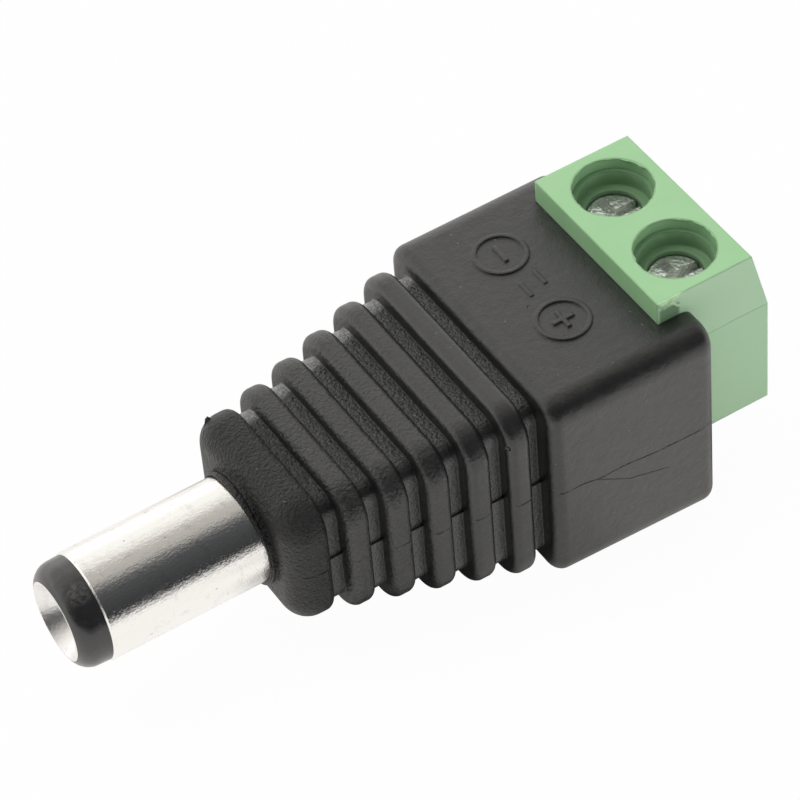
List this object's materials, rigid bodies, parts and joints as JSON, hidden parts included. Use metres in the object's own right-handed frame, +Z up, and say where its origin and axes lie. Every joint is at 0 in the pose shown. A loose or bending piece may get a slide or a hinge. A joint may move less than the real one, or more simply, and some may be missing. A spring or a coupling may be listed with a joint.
{
  "type": "dc barrel plug",
  "caption": "Straight DC barrel plug with a ribbed black moulding and a green rising-clamp screw terminal for a plus and a minus wire.",
  "frame": {"origin": "on the barrel's axis, at the shoulder where the barrel leaves the moulding", "axes": "-X along the barrel towards its tip, +X towards the screw terminal, +Z up, the way the screw wells open; the plus pole is on the -Y side"},
  "size_m": [0.0361, 0.014, 0.0131],
  "materials": {
    "black_moulding": "satin",
    "barrel_nickel": "polished",
    "contact_nickel": "polished",
    "tip_plastic": "satin",
    "bush_plastic": "matte",
    "tinned_brass": "satin",
    "copper_wire": "satin",
    "solder": "satin",
    "green_plastic": "satin",
    "cage_zinc": "satin",
    "screw_zinc": "polished"
  },
  "bodies": {
    "plug": {"moulded_body": "black_moulding", "barrel_sleeve": "barrel_nickel", "tip_insulator": "tip_plastic", "centre_contact": "contact_nickel", "rear_insulator": "bush_plastic", "sleeve_lug": "tinned_brass", "centre_lug": "tinned_brass", "current_bar_plus": "tinned_brass", "current_bar_minus": "tinned_brass", "link_wire_plus": "copper_wire", "link_wire_minus": "copper_wire", "lug_solder_plus": "solder", "lug_solder_minus": "solder", "bar_solder_plus": "solder", "bar_solder_minus": "solder", "terminal_housing": "green_plastic"},
    "screw_plus": {"clamp_screw_plus": "screw_zinc"},
    "cage_plus": {"clamp_cage_plus": "cage_zinc"},
    "screw_minus": {"clamp_screw_minus": "screw_zinc"},
    "cage_minus": {"clamp_cage_minus": "cage_zinc"}
  },
  "joints": [
    {"name": "cage_plus_rise", "type": "slide", "parent": "plug", "child": "cage_plus", "axis": [0, 0, 1], "range_m": [0, 0.0018]},
    {"name": "screw_plus_turn", "type": "hinge", "parent": "plug", "child": "screw_plus", "pos_m": [0.02286, -0.00254, 0], "axis": [0, 0, -1], "range_deg": [0, 1620]},
    {"name": "cage_minus_rise", "type": "slide", "parent": "plug", "child": "cage_minus", "axis": [0, 0, 1], "range_m": [0, 0.0018]},
    {"name": "screw_minus_turn", "type": "hinge", "parent": "plug", "child": "screw_minus", "pos_m": [0.02286, 0.00254, 0], "axis": [0, 0, -1], "range_deg": [0, 1620]}
  ],
  "couplings": [
    {"joint": "screw_plus_turn", "follows": "cage_plus_rise", "rad_per_m": 15708},
    {"joint": "screw_minus_turn", "follows": "cage_minus_rise", "rad_per_m": 15708}
  ]
}
